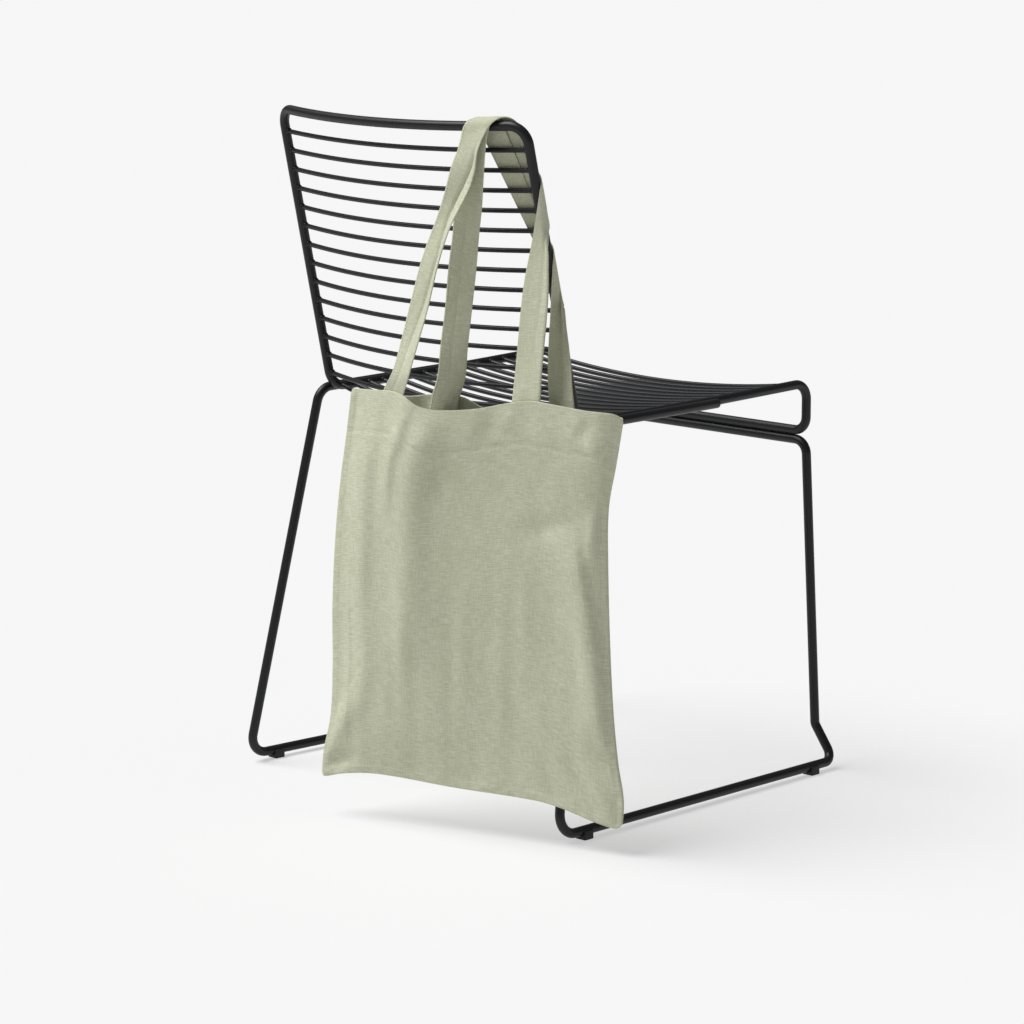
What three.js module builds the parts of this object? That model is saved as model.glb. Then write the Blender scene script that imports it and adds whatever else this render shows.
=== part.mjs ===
import * as THREE from 'three';

// A linen tote bag that hangs by its two long handles from one corner of a wire chair's back.
// Millimetres, +Z up. The chair faces +Y, and the bag hangs behind the back at its +X side.

const linen = { thickness: 1.6, hemThickness: 2.4, hemDepth: 48, handleThickness: 2, seamGap: 0.4 };
const pieceGap = 0.3;
const postClearance = 1.9;
const sewnGap = 1.1;

const rod = { radius: 5.5, sides: 8 };
const wire = { radius: 2.75, sides: 6, spacing: 22.75, first: 27.5, count: 30, steps: 8 };

// Centre lines of the upper frame, as half widths (x), places front to back (y) and heights (z).
const topCorner = { x: 200.1, y: -76.1, z: 786, bend: 22 };
const rearCorner = { x: 203.4, y: 0, z: 453.5, bend: 25 };
const frontCorner = { x: 209.6, y: 378.9, z: 462.3, bend: 19 };
const dropCorner = { x: 209.6, y: 378.9, z: 404.7, bend: 17 };
const topRailBow = { back: 26, down: 5.5 };
const seatRailDip = [
  { y: 100, z: 454.3 },
  { y: 230, z: 457.2 },
];

// How far the wires bow out of the frame's side profile, at distances along that profile.
const wireBow = [
  { along: 0, bow: 22 },
  { along: 160, bow: 24 },
  { along: 320, bow: 24 },
  { along: 420, bow: 21 },
  { along: 500, bow: 15 },
  { along: 690, bow: 15 },
];

// The base is one bent rod: beside the seat rail, down the rear leg, along the floor, up, across.
const base = {
  railEnd: 215,
  rearTop: { y: -9, z: 452, bend: 20 },
  rearFoot: { x: 262.2, y: -85.7, z: 9.5, bend: 22 },
  frontFoot: { x: 245.5, y: 396, z: 9.5, bend: 14 },
  frontKnee: { x: 222.5, y: 388, z: 52, bend: 12 },
  frontTop: { y: 379.2, bend: 17 },
};
const glide = { length: 14, width: 15, height: 10.5, inset: 42 };

// The bag's own axes: across the bag (u), out towards the viewer of its front (depth), and up (z).
const bagPlace = { x: 175, y: -120, turn: 17 };

// The two side seams, from the mouth (share 0) down to the bottom corners (share 1).
const sideSeams = [
  { share: 0, left: -181, leftDepth: -30, right: 168, rightDepth: -12 },
  { share: 0.11, left: -186, leftDepth: -27, right: 159, rightDepth: -13 },
  { share: 0.22, left: -192, leftDepth: -24, right: 150, rightDepth: -13 },
  { share: 0.36, left: -197, leftDepth: -20, right: 150, rightDepth: -12 },
  { share: 0.56, left: -200, leftDepth: -16, right: 154, rightDepth: -10 },
  { share: 0.72, left: -198, leftDepth: -12, right: 160, rightDepth: -7 },
  { share: 0.84, left: -199, leftDepth: -8, right: 167, rightDepth: -5 },
  { share: 0.93, left: -206, leftDepth: -4, right: 175, rightDepth: -3 },
  { share: 1, left: -207, leftDepth: -1, right: 175, rightDepth: 0 },
];

// Heights of the two panels' top edges and of the bottom seam, from the left seam to the right one.
const frontMouth = [
  { share: 0, z: 486 },
  { share: 0.1, z: 488.5 },
  { share: 0.19, z: 490.5 },
  { share: 0.24, z: 488 },
  { share: 0.3, z: 478 },
  { share: 0.37, z: 475 },
  { share: 0.5, z: 479 },
  { share: 0.61, z: 487.5 },
  { share: 0.69, z: 492 },
  { share: 0.76, z: 490 },
  { share: 0.88, z: 486.5 },
  { share: 0.97, z: 485 },
  { share: 1, z: 480 },
];
const backMouth = [
  { share: 0, z: 486 },
  { share: 0.17, z: 480 },
  { share: 0.29, z: 484.5 },
  { share: 0.38, z: 483 },
  { share: 0.46, z: 472 },
  { share: 0.6, z: 470 },
  { share: 0.7, z: 484 },
  { share: 0.8, z: 482 },
  { share: 1, z: 480 },
];
const bottomSeam = [
  { share: 0, z: 43 },
  { share: 0.08, z: 51 },
  { share: 0.2, z: 55.5 },
  { share: 0.45, z: 52 },
  { share: 0.72, z: 50 },
  { share: 0.81, z: 45 },
  { share: 0.9, z: 36 },
  { share: 0.97, z: 31 },
  { share: 1, z: 32 },
];

// How far each panel swells out of the seams' surface, from the mouth down to the bottom seam.
const swell = [
  { share: 0, front: 31, back: 25 },
  { share: 0.2, front: 28, back: 22 },
  { share: 0.45, front: 25, back: 16 },
  { share: 0.7, front: 20, back: 10 },
  { share: 0.85, front: 13, back: 5 },
  { share: 0.94, front: 6, back: 2 },
  { share: 1, front: 0, back: 0 },
];

// Soft folds of the front panel: each runs from one point to another, both as shares across and
// down, and has a width and a height. A height below zero is a trough.
const frontFolds = [
  { fromAcross: 0.225, fromDown: -0.03, toAcross: 0.2, toDown: 0.36, width: 16, height: 6 },
  { fromAcross: 0.3, fromDown: -0.03, toAcross: 0.25, toDown: 0.3, width: 18, height: -7 },
  { fromAcross: 0.13, fromDown: -0.02, toAcross: 0.12, toDown: 0.45, width: 20, height: -4 },
  { fromAcross: 0.47, fromDown: -0.05, toAcross: 0.4, toDown: 0.5, width: 36, height: 5 },
  { fromAcross: 0.8, fromDown: 0.3, toAcross: 0.93, toDown: 0.92, width: 20, height: 7 },
  { fromAcross: 0.9, fromDown: 0.12, toAcross: 0.97, toDown: 0.7, width: 15, height: -5 },
  { fromAcross: 0.2, fromDown: 0.45, toAcross: 0.06, toDown: 0.93, width: 26, height: 5 },
  { fromAcross: 0.34, fromDown: 0.4, toAcross: 0.3, toDown: 0.9, width: 30, height: -4 },
];
const backFolds = [
  { fromAcross: 0.33, fromDown: -0.03, toAcross: 0.28, toDown: 0.3, width: 16, height: 5 },
  { fromAcross: 0.52, fromDown: -0.03, toAcross: 0.5, toDown: 0.4, width: 30, height: -6 },
  { fromAcross: 0.76, fromDown: -0.02, toAcross: 0.8, toDown: 0.3, width: 16, height: 4 },
];
const panelGrid = { across: 30, down: 26 };

// Handles: how deep their ends are sewn in, and how many columns of a panel's grid they cover.
const handle = { sewnDepth: 26, columns: 3, stepsPerRow: 3 };

// Rows of the free lengths: a centre, the plan angle of the row across the strap, its rise over
// that row, and its width there. The strap is gathered narrow where it rounds the post.
const frontHandle = {
  leftColumn: 5,
  rightColumn: 19,
  climb: [
    { x: 87, y: -148, z: 530, angle: -8, rise: 0, width: 33 },
    { x: 105, y: -134, z: 619, angle: -2, rise: 0, width: 33 },
    { x: 117, y: -121.5, z: 678, angle: -8, rise: 0.05, width: 33 },
    { x: 130.5, y: -109.5, z: 736, angle: -2, rise: 0.15, width: 35 },
  ],
  rail: { fromX: 144, toX: 161, radius: 11.3, width: 37 },
  cross: [
    { x: 179, y: -66.5, z: 769, angle: 0, rise: 0.6, width: 36 },
    { x: 191, y: -58, z: 751, angle: -6, rise: 0.9, width: 27 },
  ],
  post: { fromZ: 736, toZ: 703, width: 16 },
  fall: [
    { x: 207.5, y: -62.5, z: 680, angle: -172, rise: 0, width: 24 },
    { x: 213, y: -76, z: 624, angle: -169, rise: 0, width: 29 },
    { x: 219.5, y: -90, z: 567, angle: -162, rise: 0, width: 32 },
    { x: 225.5, y: -103.5, z: 512, angle: -155, rise: 0, width: 34 },
  ],
};
const backHandle = {
  leftColumn: 8,
  rightColumn: 21,
  climb: [
    { x: 106, y: -97.5, z: 530, angle: 18, rise: 0, width: 33 },
    { x: 119, y: -99, z: 618, angle: 14, rise: 0, width: 32 },
    { x: 126.5, y: -98.5, z: 677, angle: 14, rise: 0, width: 32 },
    { x: 134, y: -98.5, z: 737, angle: 14, rise: 0, width: 33 },
  ],
  rail: { fromX: 141, toX: 143, radius: 8.1, width: 35 },
  cross: [
    { x: 157, y: -71, z: 752, angle: 4, rise: 0.4, width: 32 },
    { x: 176, y: -54, z: 710, angle: 2, rise: 0.5, width: 30 },
    { x: 187, y: -42.5, z: 682, angle: -4, rise: 0.8, width: 28 },
  ],
  post: { fromZ: 668, toZ: 640, width: 15 },
  fall: [
    { x: 212.5, y: -47.5, z: 618, angle: -176, rise: 0, width: 22 },
    { x: 226, y: -56, z: 564, angle: -168, rise: 0, width: 26 },
    { x: 238, y: -60, z: 512, angle: -160, rise: 0, width: 33 },
  ],
};

const degrees = Math.PI / 180;
const powderCoat = new THREE.MeshStandardMaterial({ color: '#2b2d33', roughness: 0.45, metalness: 0.1 });
const sageLinen = new THREE.MeshStandardMaterial({ color: '#c3c5ae', roughness: 0.92, metalness: 0 });
const glidePlastic = new THREE.MeshStandardMaterial({ color: '#202124', roughness: 0.6, metalness: 0 });

const part = new THREE.Group();

// A smooth curve through a table: the value of one column at a place in the column that orders it.
function smooth(rows, order, column) {
  const slopeAt = (i) => {
    const before = rows[Math.max(0, i - 1)];
    const after = rows[Math.min(rows.length - 1, i + 1)];
    return (after[column] - before[column]) / (after[order] - before[order]);
  };
  return (place) => {
    const last = rows.length - 2;
    let i = rows.findIndex((row) => row[order] > place) - 1;
    if (i < 0) i = place < rows[0][order] ? 0 : last;
    const a = rows[i];
    const b = rows[i + 1];
    const span = b[order] - a[order];
    const t = THREE.MathUtils.clamp((place - a[order]) / span, 0, 1);
    const h = t * t * (3 - 2 * t);
    const rise = slopeAt(i) * t * (1 - t) ** 2 - slopeAt(i + 1) * t * t * (1 - t);
    return a[column] + (b[column] - a[column]) * h + span * rise;
  };
}

// A path through stations, one step of an extrusion for each, however far apart they are.
class StationPath extends THREE.Curve {
  constructor(stations) {
    super();
    this.stations = stations;
  }

  getPoint(t) {
    const place = THREE.MathUtils.clamp(t, 0, 1) * (this.stations.length - 1);
    const i = Math.min(Math.floor(place), this.stations.length - 2);
    return this.stations[i].clone().lerp(this.stations[i + 1], place - i);
  }

  getUtoTmapping(u) {
    return u;
  }
}

// Stations along a bent rod: each corner with a bend becomes a round arc of a few steps.
function bentStations(corners, stepsPerBend = 5) {
  const stations = [];
  corners.forEach(({ point, bend }, i) => {
    if (!bend || i === 0 || i === corners.length - 1) {
      stations.push(point.clone());
      return;
    }
    const toBefore = corners[i - 1].point.clone().sub(point).normalize();
    const toAfter = corners[i + 1].point.clone().sub(point).normalize();
    const half = toBefore.angleTo(toAfter) / 2;
    const start = point.clone().addScaledVector(toBefore, bend / Math.tan(half));
    const middle = toBefore.clone().add(toAfter).normalize();
    const centre = point.clone().addScaledVector(middle, bend / Math.sin(half));
    const spoke = start.clone().sub(centre);
    const axis = toBefore.clone().cross(toAfter).normalize().negate();
    const turn = Math.PI - 2 * half;
    for (let k = 0; k <= stepsPerBend; k += 1) {
      const turned = spoke.clone().applyAxisAngle(axis, turn * k / stepsPerBend);
      stations.push(centre.clone().add(turned));
    }
  });
  return stations;
}

function roundBar(stations, radius, sides) {
  const ring = [];
  for (let i = 0; i < sides; i += 1) {
    const angle = (i + 0.5) / sides * 2 * Math.PI;
    ring.push(new THREE.Vector2(radius * Math.cos(angle), radius * Math.sin(angle)));
  }
  return new THREE.ExtrudeGeometry(new THREE.Shape(ring), {
    steps: stations.length - 1,
    extrudePath: new StationPath(stations),
    bevelEnabled: false,
  });
}

function addPiece(name, geometry, material) {
  const piece = new THREE.Mesh(geometry, material);
  piece.name = name;
  part.add(piece);
  return piece;
}

// Chair

const mirrored = ({ point, bend }) => ({ point: new THREE.Vector3(-point.x, point.y, point.z), bend });
const corner = ({ x, y, z, bend }) => ({ point: new THREE.Vector3(x, y, z), bend });

// The top rail bows back and a little down between its two corners.
function topRailPoint(x) {
  const share = 1 - (x / topCorner.x) ** 2;
  return new THREE.Vector3(x, topCorner.y - topRailBow.back * share, topCorner.z - topRailBow.down * share);
}

function seatHalfWidth(y) {
  return rearCorner.x + (frontCorner.x - rearCorner.x) * y / frontCorner.y;
}

// One closed loop of rod round the back and the seat: its ends meet in the middle of the front bar.
function buildUpperFrame() {
  const jointGap = 0.15;
  const side = [
    corner(dropCorner),
    corner(frontCorner),
    ...seatRailDip.toReversed().map(({ y, z }) => corner({ x: seatHalfWidth(y), y, z, bend: 400 })),
    corner(rearCorner),
    corner(topCorner),
  ];
  const rail = [];
  for (let x = 150; x >= -150; x -= 25) {
    rail.push({ point: topRailPoint(x) });
  }
  const frontEnd = (x) => ({ point: new THREE.Vector3(x, dropCorner.y, dropCorner.z) });
  const loop = [
    frontEnd(jointGap), ...side, ...rail, ...side.toReversed().map(mirrored), frontEnd(-jointGap),
  ];
  addPiece('upper_frame', roundBar(bentStations(loop), rod.radius, rod.sides), powderCoat);
}

// The frame's side profile from the top corner down the post, round the bend and along the seat.
function sideProfile() {
  const corners = [
    corner({ ...topCorner, x: 0 }),
    corner({ ...rearCorner, x: 0 }),
    ...seatRailDip.map(({ y, z }) => corner({ x: 0, y, z, bend: 400 })),
    corner({ ...frontCorner, x: 0 }),
  ];
  const path = new THREE.CurvePath();
  const stations = bentStations(corners, 8);
  stations.slice(1).forEach((station, i) => path.add(new THREE.LineCurve3(stations[i], station)));
  return path;
}

// Wires run from side to side, butt against the rods and bow out of the side profile.
function buildWires() {
  const profile = sideProfile();
  const bowAt = smooth(wireBow, 'along', 'bow');
  for (let i = 0; i < wire.count; i += 1) {
    const along = wire.first + wire.spacing * i;
    const u = along / profile.getLength();
    const place = profile.getPointAt(u);
    const tangent = profile.getTangentAt(u);
    const outwards = new THREE.Vector3(0, tangent.z, -tangent.y);
    const onPost = place.z > rearCorner.z + 5 && place.y < 0;
    const share = (place.z - rearCorner.z) / (topCorner.z - rearCorner.z);
    const halfWidth = onPost
      ? rearCorner.x + (topCorner.x - rearCorner.x) * share
      : seatHalfWidth(Math.max(0, place.y));
    const endSlope = Math.atan(2 * bowAt(along) / halfWidth);
    const reach = halfWidth - rod.radius - pieceGap - wire.radius * Math.sin(endSlope);
    const stations = [];
    for (let k = 0; k <= wire.steps; k += 1) {
      const x = reach * (2 * k / wire.steps - 1);
      const bow = bowAt(along) * (1 - (x / reach) ** 2);
      stations.push(new THREE.Vector3(x, place.y, place.z).addScaledVector(outwards, bow));
    }
    const group = onPost ? 'back_wire' : 'seat_wire';
    const name = `${group}_${String(i + 1).padStart(2, '0')}`;
    addPiece(name, roundBar(stations, wire.radius, wire.sides), powderCoat);
  }
}

function buildBase() {
  const beside = (y) => seatHalfWidth(y) + 2 * rod.radius + 0.4;
  const rearTop = { x: beside(0), ...base.rearTop };
  const frontTop = {
    x: dropCorner.x, y: base.frontTop.y, z: dropCorner.z - 2 * rod.radius - 0.4, bend: base.frontTop.bend,
  };
  const side = [
    corner({ x: beside(base.railEnd), y: base.railEnd, z: 456 }),
    corner(rearTop),
    corner(base.rearFoot),
    corner(base.frontFoot),
    corner(base.frontKnee),
    corner(frontTop),
  ];
  const loop = [...side, ...side.toReversed().map(mirrored)];
  addPiece('base', roundBar(bentStations(loop), rod.radius, rod.sides), powderCoat);
}

// A glide is a flat-bottomed saddle that clips over the runner from below.
function buildGlides() {
  const groove = rod.radius + 0.4;
  const rise = base.rearFoot.z;
  const lip = glide.height - rise;
  const halfMouth = Math.sqrt(groove ** 2 - lip ** 2);
  const shape = new THREE.Shape();
  shape.moveTo(-glide.width / 2, 0);
  shape.lineTo(glide.width / 2, 0);
  shape.lineTo(glide.width / 2, glide.height);
  shape.lineTo(halfMouth, glide.height);
  shape.absarc(0, rise, groove, Math.atan2(lip, halfMouth), Math.PI - Math.atan2(lip, halfMouth), true);
  shape.lineTo(-glide.width / 2, glide.height);
  const foot = new THREE.Vector2(base.rearFoot.x, base.rearFoot.y);
  const toe = new THREE.Vector2(base.frontFoot.x, base.frontFoot.y);
  const runner = toe.clone().sub(foot);
  const runnerTurn = Math.atan2(runner.y, runner.x) - Math.PI / 2;
  for (const [place, fromFoot] of [['rear', glide.inset], ['front', runner.length() - glide.inset]]) {
    for (const [side, sign] of [['left', -1], ['right', 1]]) {
      const spot = foot.clone().addScaledVector(runner.clone().normalize(), fromFoot);
      const geometry = new THREE.ExtrudeGeometry(shape, {
        depth: glide.length, bevelEnabled: false, curveSegments: 8,
      });
      geometry.translate(0, 0, -glide.length / 2);
      geometry.rotateX(Math.PI / 2);
      geometry.rotateZ(sign * runnerTurn);
      geometry.translate(sign * spot.x, spot.y, 0);
      addPiece(`glide_${place}_${side}`, geometry, glidePlastic);
    }
  }
}

// Bag

function bagToChair(u, depth, z) {
  const turn = bagPlace.turn * degrees;
  return new THREE.Vector3(
    bagPlace.x + u * Math.cos(turn) + depth * Math.sin(turn),
    bagPlace.y + u * Math.sin(turn) - depth * Math.cos(turn),
    z,
  );
}

// A fold's height at a point of the panel: round across its line, and fading out at its two ends.
function foldHeight(fold, u, down, bagHeight, uAt) {
  const length = (fold.toDown - fold.fromDown) * bagHeight;
  const along = (down - fold.fromDown) / (fold.toDown - fold.fromDown);
  if (along <= 0 || along >= 1) return 0;
  const across = fold.fromAcross + (fold.toAcross - fold.fromAcross) * along;
  const reach = (u - uAt(across)) / fold.width;
  const fade = Math.min(1, Math.min(along, 1 - along) * length / 60);
  return fold.height * Math.exp(-reach * reach) * fade * fade * (3 - 2 * fade);
}

const leftU = smooth(sideSeams, 'share', 'left');
const rightU = smooth(sideSeams, 'share', 'right');
const leftDepth = smooth(sideSeams, 'share', 'leftDepth');
const rightDepth = smooth(sideSeams, 'share', 'rightDepth');
const bottomZ = smooth(bottomSeam, 'share', 'z');
const bagHeight = 440;

// A panel's middle surface in the chair's axes, at shares across and down.
function panelSurface({ mouth, folds, side }) {
  const topZ = smooth(mouth, 'share', 'z');
  const swellAt = smooth(swell, 'share', side > 0 ? 'front' : 'back');
  return (across, down) => {
    const lower = Math.max(0, down);
    const uAt = (share) => leftU(lower) + (rightU(lower) - leftU(lower)) * share;
    const u = uAt(across);
    const z = topZ(across) + (bottomZ(across) - topZ(across)) * down;
    const seamDepth = leftDepth(lower) + (rightDepth(lower) - leftDepth(lower)) * across;
    const puff = Math.max(0, Math.sin(Math.PI * across)) ** 1.4;
    const bottomFade = Math.min(1, (1 - lower) * 6);
    const sideFade = Math.min(1, Math.min(across, 1 - across) * 14);
    const folded = folds.reduce((sum, fold) => sum + foldHeight(fold, u, lower, bagHeight, uAt), 0);
    const fromSeam = side * (swellAt(lower) * puff + linen.thickness / 2 + linen.seamGap);
    return bagToChair(u, seamDepth + fromSeam + folded * bottomFade * sideFade, z);
  };
}

function surfaceNormal(surface, across, down, side) {
  const step = 0.004;
  const alongU = surface(across + step, down).sub(surface(across - step, down));
  const alongDown = surface(across, down + step).sub(surface(across, down - step));
  return alongDown.cross(alongU).normalize().multiplyScalar(side);
}

// A closed sheet between two grids of points, joined round the rim.
function sheetGeometry(outer, inner) {
  const rows = outer.length;
  const columns = outer[0].length;
  const positions = [];
  for (const grid of [outer, inner]) {
    for (const row of grid) {
      for (const point of row) positions.push(point.x, point.y, point.z);
    }
  }
  const at = (layer, i, j) => (layer * rows + i) * columns + j;
  const faces = [];
  const quad = (a, b, c, d) => faces.push(a, b, c, a, c, d);
  for (let i = 0; i + 1 < rows; i += 1) {
    for (let j = 0; j + 1 < columns; j += 1) {
      quad(at(0, i, j), at(0, i + 1, j), at(0, i + 1, j + 1), at(0, i, j + 1));
      quad(at(1, i, j), at(1, i, j + 1), at(1, i + 1, j + 1), at(1, i + 1, j));
    }
    quad(at(0, i, 0), at(1, i, 0), at(1, i + 1, 0), at(0, i + 1, 0));
    quad(at(0, i, columns - 1), at(0, i + 1, columns - 1), at(1, i + 1, columns - 1), at(1, i, columns - 1));
  }
  for (let j = 0; j + 1 < columns; j += 1) {
    quad(at(0, 0, j), at(0, 0, j + 1), at(1, 0, j + 1), at(1, 0, j));
    quad(at(0, rows - 1, j), at(1, rows - 1, j), at(1, rows - 1, j + 1), at(0, rows - 1, j + 1));
  }
  const geometry = new THREE.BufferGeometry();
  geometry.setAttribute('position', new THREE.Float32BufferAttribute(positions, 3));
  geometry.setIndex(faces);
  geometry.computeVertexNormals();
  return geometry;
}

// The rows down a panel: two lie close together where the hem's doubled cloth ends.
function panelRows() {
  const hemShare = linen.hemDepth / bagHeight;
  const rows = [0, hemShare / 3, hemShare * 2 / 3, hemShare - 0.002, hemShare + 0.004];
  const rest = panelGrid.down - rows.length + 1;
  for (let i = 1; i <= rest; i += 1) {
    rows.push(hemShare + 0.004 + (1 - hemShare - 0.004) * i / rest);
  }
  return rows;
}

function buildPanel(name, surface, side) {
  const hemShare = linen.hemDepth / bagHeight;
  const outer = [];
  const inner = [];
  for (const down of panelRows()) {
    const inHem = down < hemShare;
    const outerRow = [];
    const innerRow = [];
    for (let j = 0; j <= panelGrid.across; j += 1) {
      const across = j / panelGrid.across;
      const edge = Math.min(across, 1 - across) < 0.02;
      const thickness = inHem && !edge ? linen.hemThickness : linen.thickness;
      const normal = surfaceNormal(surface, across, Math.min(down, 0.995), side);
      const middle = surface(across, down);
      outerRow.push(middle.clone().addScaledVector(normal, linen.thickness / 2));
      innerRow.push(middle.clone().addScaledVector(normal, linen.thickness / 2 - thickness));
    }
    outer.push(outerRow);
    inner.push(innerRow);
  }
  const geometry = side > 0 ? sheetGeometry(outer, inner) : sheetGeometry(inner, outer);
  addPiece(name, geometry, sageLinen);
}

// Handles

function postPoint(z) {
  const share = (z - rearCorner.z) / (topCorner.z - rearCorner.z);
  return new THREE.Vector3(
    rearCorner.x + (topCorner.x - rearCorner.x) * share,
    rearCorner.y + (topCorner.y - rearCorner.y) * share,
    z,
  );
}

function straightRow(centre, across, width) {
  const row = [];
  for (let j = 0; j <= handle.columns; j += 1) {
    row.push(centre.clone().addScaledVector(across, width * (j / handle.columns - 0.5)));
  }
  return row;
}

function freeRow({ x, y, z, angle, rise, width }) {
  const across = new THREE.Vector3(Math.cos(angle * degrees), Math.sin(angle * degrees), rise).normalize();
  return straightRow(new THREE.Vector3(x, y, z), across, width);
}

// Rows of an end that is sewn to the inner face of its panel, from deep in the hem up to the edge.
function sewnRows(surface, side, firstColumn, reversed) {
  const inset = linen.hemThickness - linen.thickness / 2 + sewnGap + linen.handleThickness / 2;
  return [1, 0.66, 0.33, 0].map((deep) => {
    const down = deep * handle.sewnDepth / bagHeight;
    const row = [];
    for (let j = 0; j <= handle.columns; j += 1) {
      const across = (firstColumn + (reversed ? handle.columns - j : j)) / panelGrid.across;
      const normal = surfaceNormal(surface, across, down, side);
      row.push(surface(across, down).addScaledVector(normal, -inset));
    }
    return row;
  });
}

// Rows over the top rail, from its rear side to the seat's side.
function railRows({ fromX, toX, radius, width }) {
  const rows = [];
  for (let k = 0; k <= 4; k += 1) {
    const x = fromX + (toX - fromX) * k / 4;
    const centre = topRailPoint(x);
    const along = topRailPoint(x + 1).sub(topRailPoint(x - 1)).normalize();
    const rear = new THREE.Vector3(along.y, -along.x, 0).normalize();
    const up = new THREE.Vector3(0, 0, 1);
    const turn = Math.PI * k / 4;
    centre.addScaledVector(rear, radius * Math.cos(turn)).addScaledVector(up, radius * Math.sin(turn));
    rows.push(straightRow(centre, along, width));
  }
  return rows;
}

// Rows round the outer side of the post, from the seat's side to the rear.
function postRows({ fromZ, toZ, width }) {
  const rows = [];
  const radius = rod.radius + postClearance + linen.handleThickness / 2;
  for (let k = 0; k <= 4; k += 1) {
    const z = fromZ + (toZ - fromZ) * k / 4;
    const turn = (80 - 165 * k / 4) * degrees;
    const centre = postPoint(z);
    centre.x += radius * Math.cos(turn);
    centre.y += radius * Math.sin(turn);
    rows.push(straightRow(centre, new THREE.Vector3(Math.sin(turn), -Math.cos(turn), 0), width));
  }
  return rows;
}

function buildHandle(name, surface, side, plan) {
  const rows = [
    ...sewnRows(surface, side, plan.leftColumn, false),
    ...plan.climb.map(freeRow),
    ...railRows(plan.rail),
    ...plan.cross.map(freeRow),
    ...postRows(plan.post),
    ...plan.fall.map(freeRow),
    ...sewnRows(surface, side, plan.rightColumn, true).toReversed(),
  ];
  const threads = [];
  for (let j = 0; j <= handle.columns; j += 1) {
    threads.push(new THREE.CatmullRomCurve3(rows.map((row) => row[j]), false, 'centripetal'));
  }
  const steps = (rows.length - 1) * handle.stepsPerRow;
  const middle = [];
  for (let i = 0; i <= steps; i += 1) {
    middle.push(threads.map((thread) => thread.getPoint(i / steps)));
  }
  const offset = (distance) => middle.map((row, i) => row.map((point, j) => {
    const before = middle[Math.max(0, i - 1)][j];
    const after = middle[Math.min(steps, i + 1)][j];
    const left = row[Math.max(0, j - 1)];
    const right = row[Math.min(handle.columns, j + 1)];
    const normal = right.clone().sub(left).cross(after.clone().sub(before)).normalize();
    return point.clone().addScaledVector(normal, distance);
  }));
  const half = linen.handleThickness / 2;
  addPiece(name, sheetGeometry(offset(-half), offset(half)), sageLinen);
}

buildUpperFrame();
buildWires();
buildBase();
buildGlides();

const frontSurface = panelSurface({ mouth: frontMouth, folds: frontFolds, side: 1 });
const backSurface = panelSurface({ mouth: backMouth, folds: backFolds, side: -1 });
buildPanel('front_panel', frontSurface, 1);
buildPanel('back_panel', backSurface, -1);
buildHandle('front_handle', frontSurface, 1, frontHandle);
buildHandle('back_handle', backSurface, -1, backHandle);

// The origin is the middle of the whole thing's footprint, at the floor.
const box = new THREE.Box3().setFromObject(part);
part.position.set(-(box.min.x + box.max.x) / 2, -(box.min.y + box.max.y) / 2, -box.min.z);

export default part;
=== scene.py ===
import math

import bmesh
import bpy
import numpy as np
from mathutils import Matrix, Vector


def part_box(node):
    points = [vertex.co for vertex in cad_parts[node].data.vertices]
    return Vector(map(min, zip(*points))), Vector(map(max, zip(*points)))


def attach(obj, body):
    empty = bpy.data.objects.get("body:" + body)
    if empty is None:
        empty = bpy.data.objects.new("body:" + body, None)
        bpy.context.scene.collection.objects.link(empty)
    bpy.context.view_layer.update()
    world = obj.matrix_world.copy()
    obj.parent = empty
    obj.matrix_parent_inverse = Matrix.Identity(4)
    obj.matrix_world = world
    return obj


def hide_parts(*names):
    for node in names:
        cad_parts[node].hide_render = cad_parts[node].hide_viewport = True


# A linen tote bag that hangs by its handles from one corner of a wire chair's back.
# Tables are in millimetres in the chair's own axes: x across from its middle, y forwards from
# the foot of its back, z up from the floor.

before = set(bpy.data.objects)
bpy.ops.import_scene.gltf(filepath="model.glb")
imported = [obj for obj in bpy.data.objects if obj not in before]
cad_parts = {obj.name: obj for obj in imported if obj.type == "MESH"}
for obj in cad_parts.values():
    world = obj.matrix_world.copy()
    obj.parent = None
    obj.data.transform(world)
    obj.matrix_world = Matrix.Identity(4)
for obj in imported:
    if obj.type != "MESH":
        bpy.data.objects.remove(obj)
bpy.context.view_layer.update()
mm = 0.001
body = "root"

rod = {"radius": 5.5, "sides": 28, "bendSteps": 14, "railStep": 10}
wire = {"radius": 2.75, "sides": 16, "spacing": 22.75, "first": 27.5, "count": 30, "steps": 24, "sunk": 0.9}

topCorner = (200.1, -76.1, 786, 22)  # x, y, z and the radius of the bend
rearCorner = (203.4, 0, 453.5, 25)
frontCorner = (209.6, 378.9, 462.3, 19)
dropCorner = (209.6, 378.9, 404.7, 17)
seatRailDip = [(100, 454.3, 400), (230, 457.2, 400)]  # y, z, bend
topRailBow = {"back": 26, "down": 5.5}

lowest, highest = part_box("upper_frame")
facetReach = rod["radius"] * math.cos(math.pi / 8)
chairShift = np.array([
    (lowest.x + highest.x) / 2,
    highest.y - (frontCorner[1] + facetReach) * mm,
    0.0,
])


def inFrame(points):  # from the chair's millimetres to metres in the frame
    return np.asarray(points, float) * mm + chairShift


def unit(vectors):
    vectors = np.asarray(vectors, float)
    length = np.linalg.norm(vectors, axis=-1, keepdims=True)
    return vectors / np.maximum(length, 1e-9)


def runAlong(points):
    return np.concatenate([[0], np.cumsum(np.linalg.norm(np.diff(points, axis=0), axis=-1))])


def ease(share):
    share = np.clip(share, 0, 1)
    return share * share * (3 - 2 * share)


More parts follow.
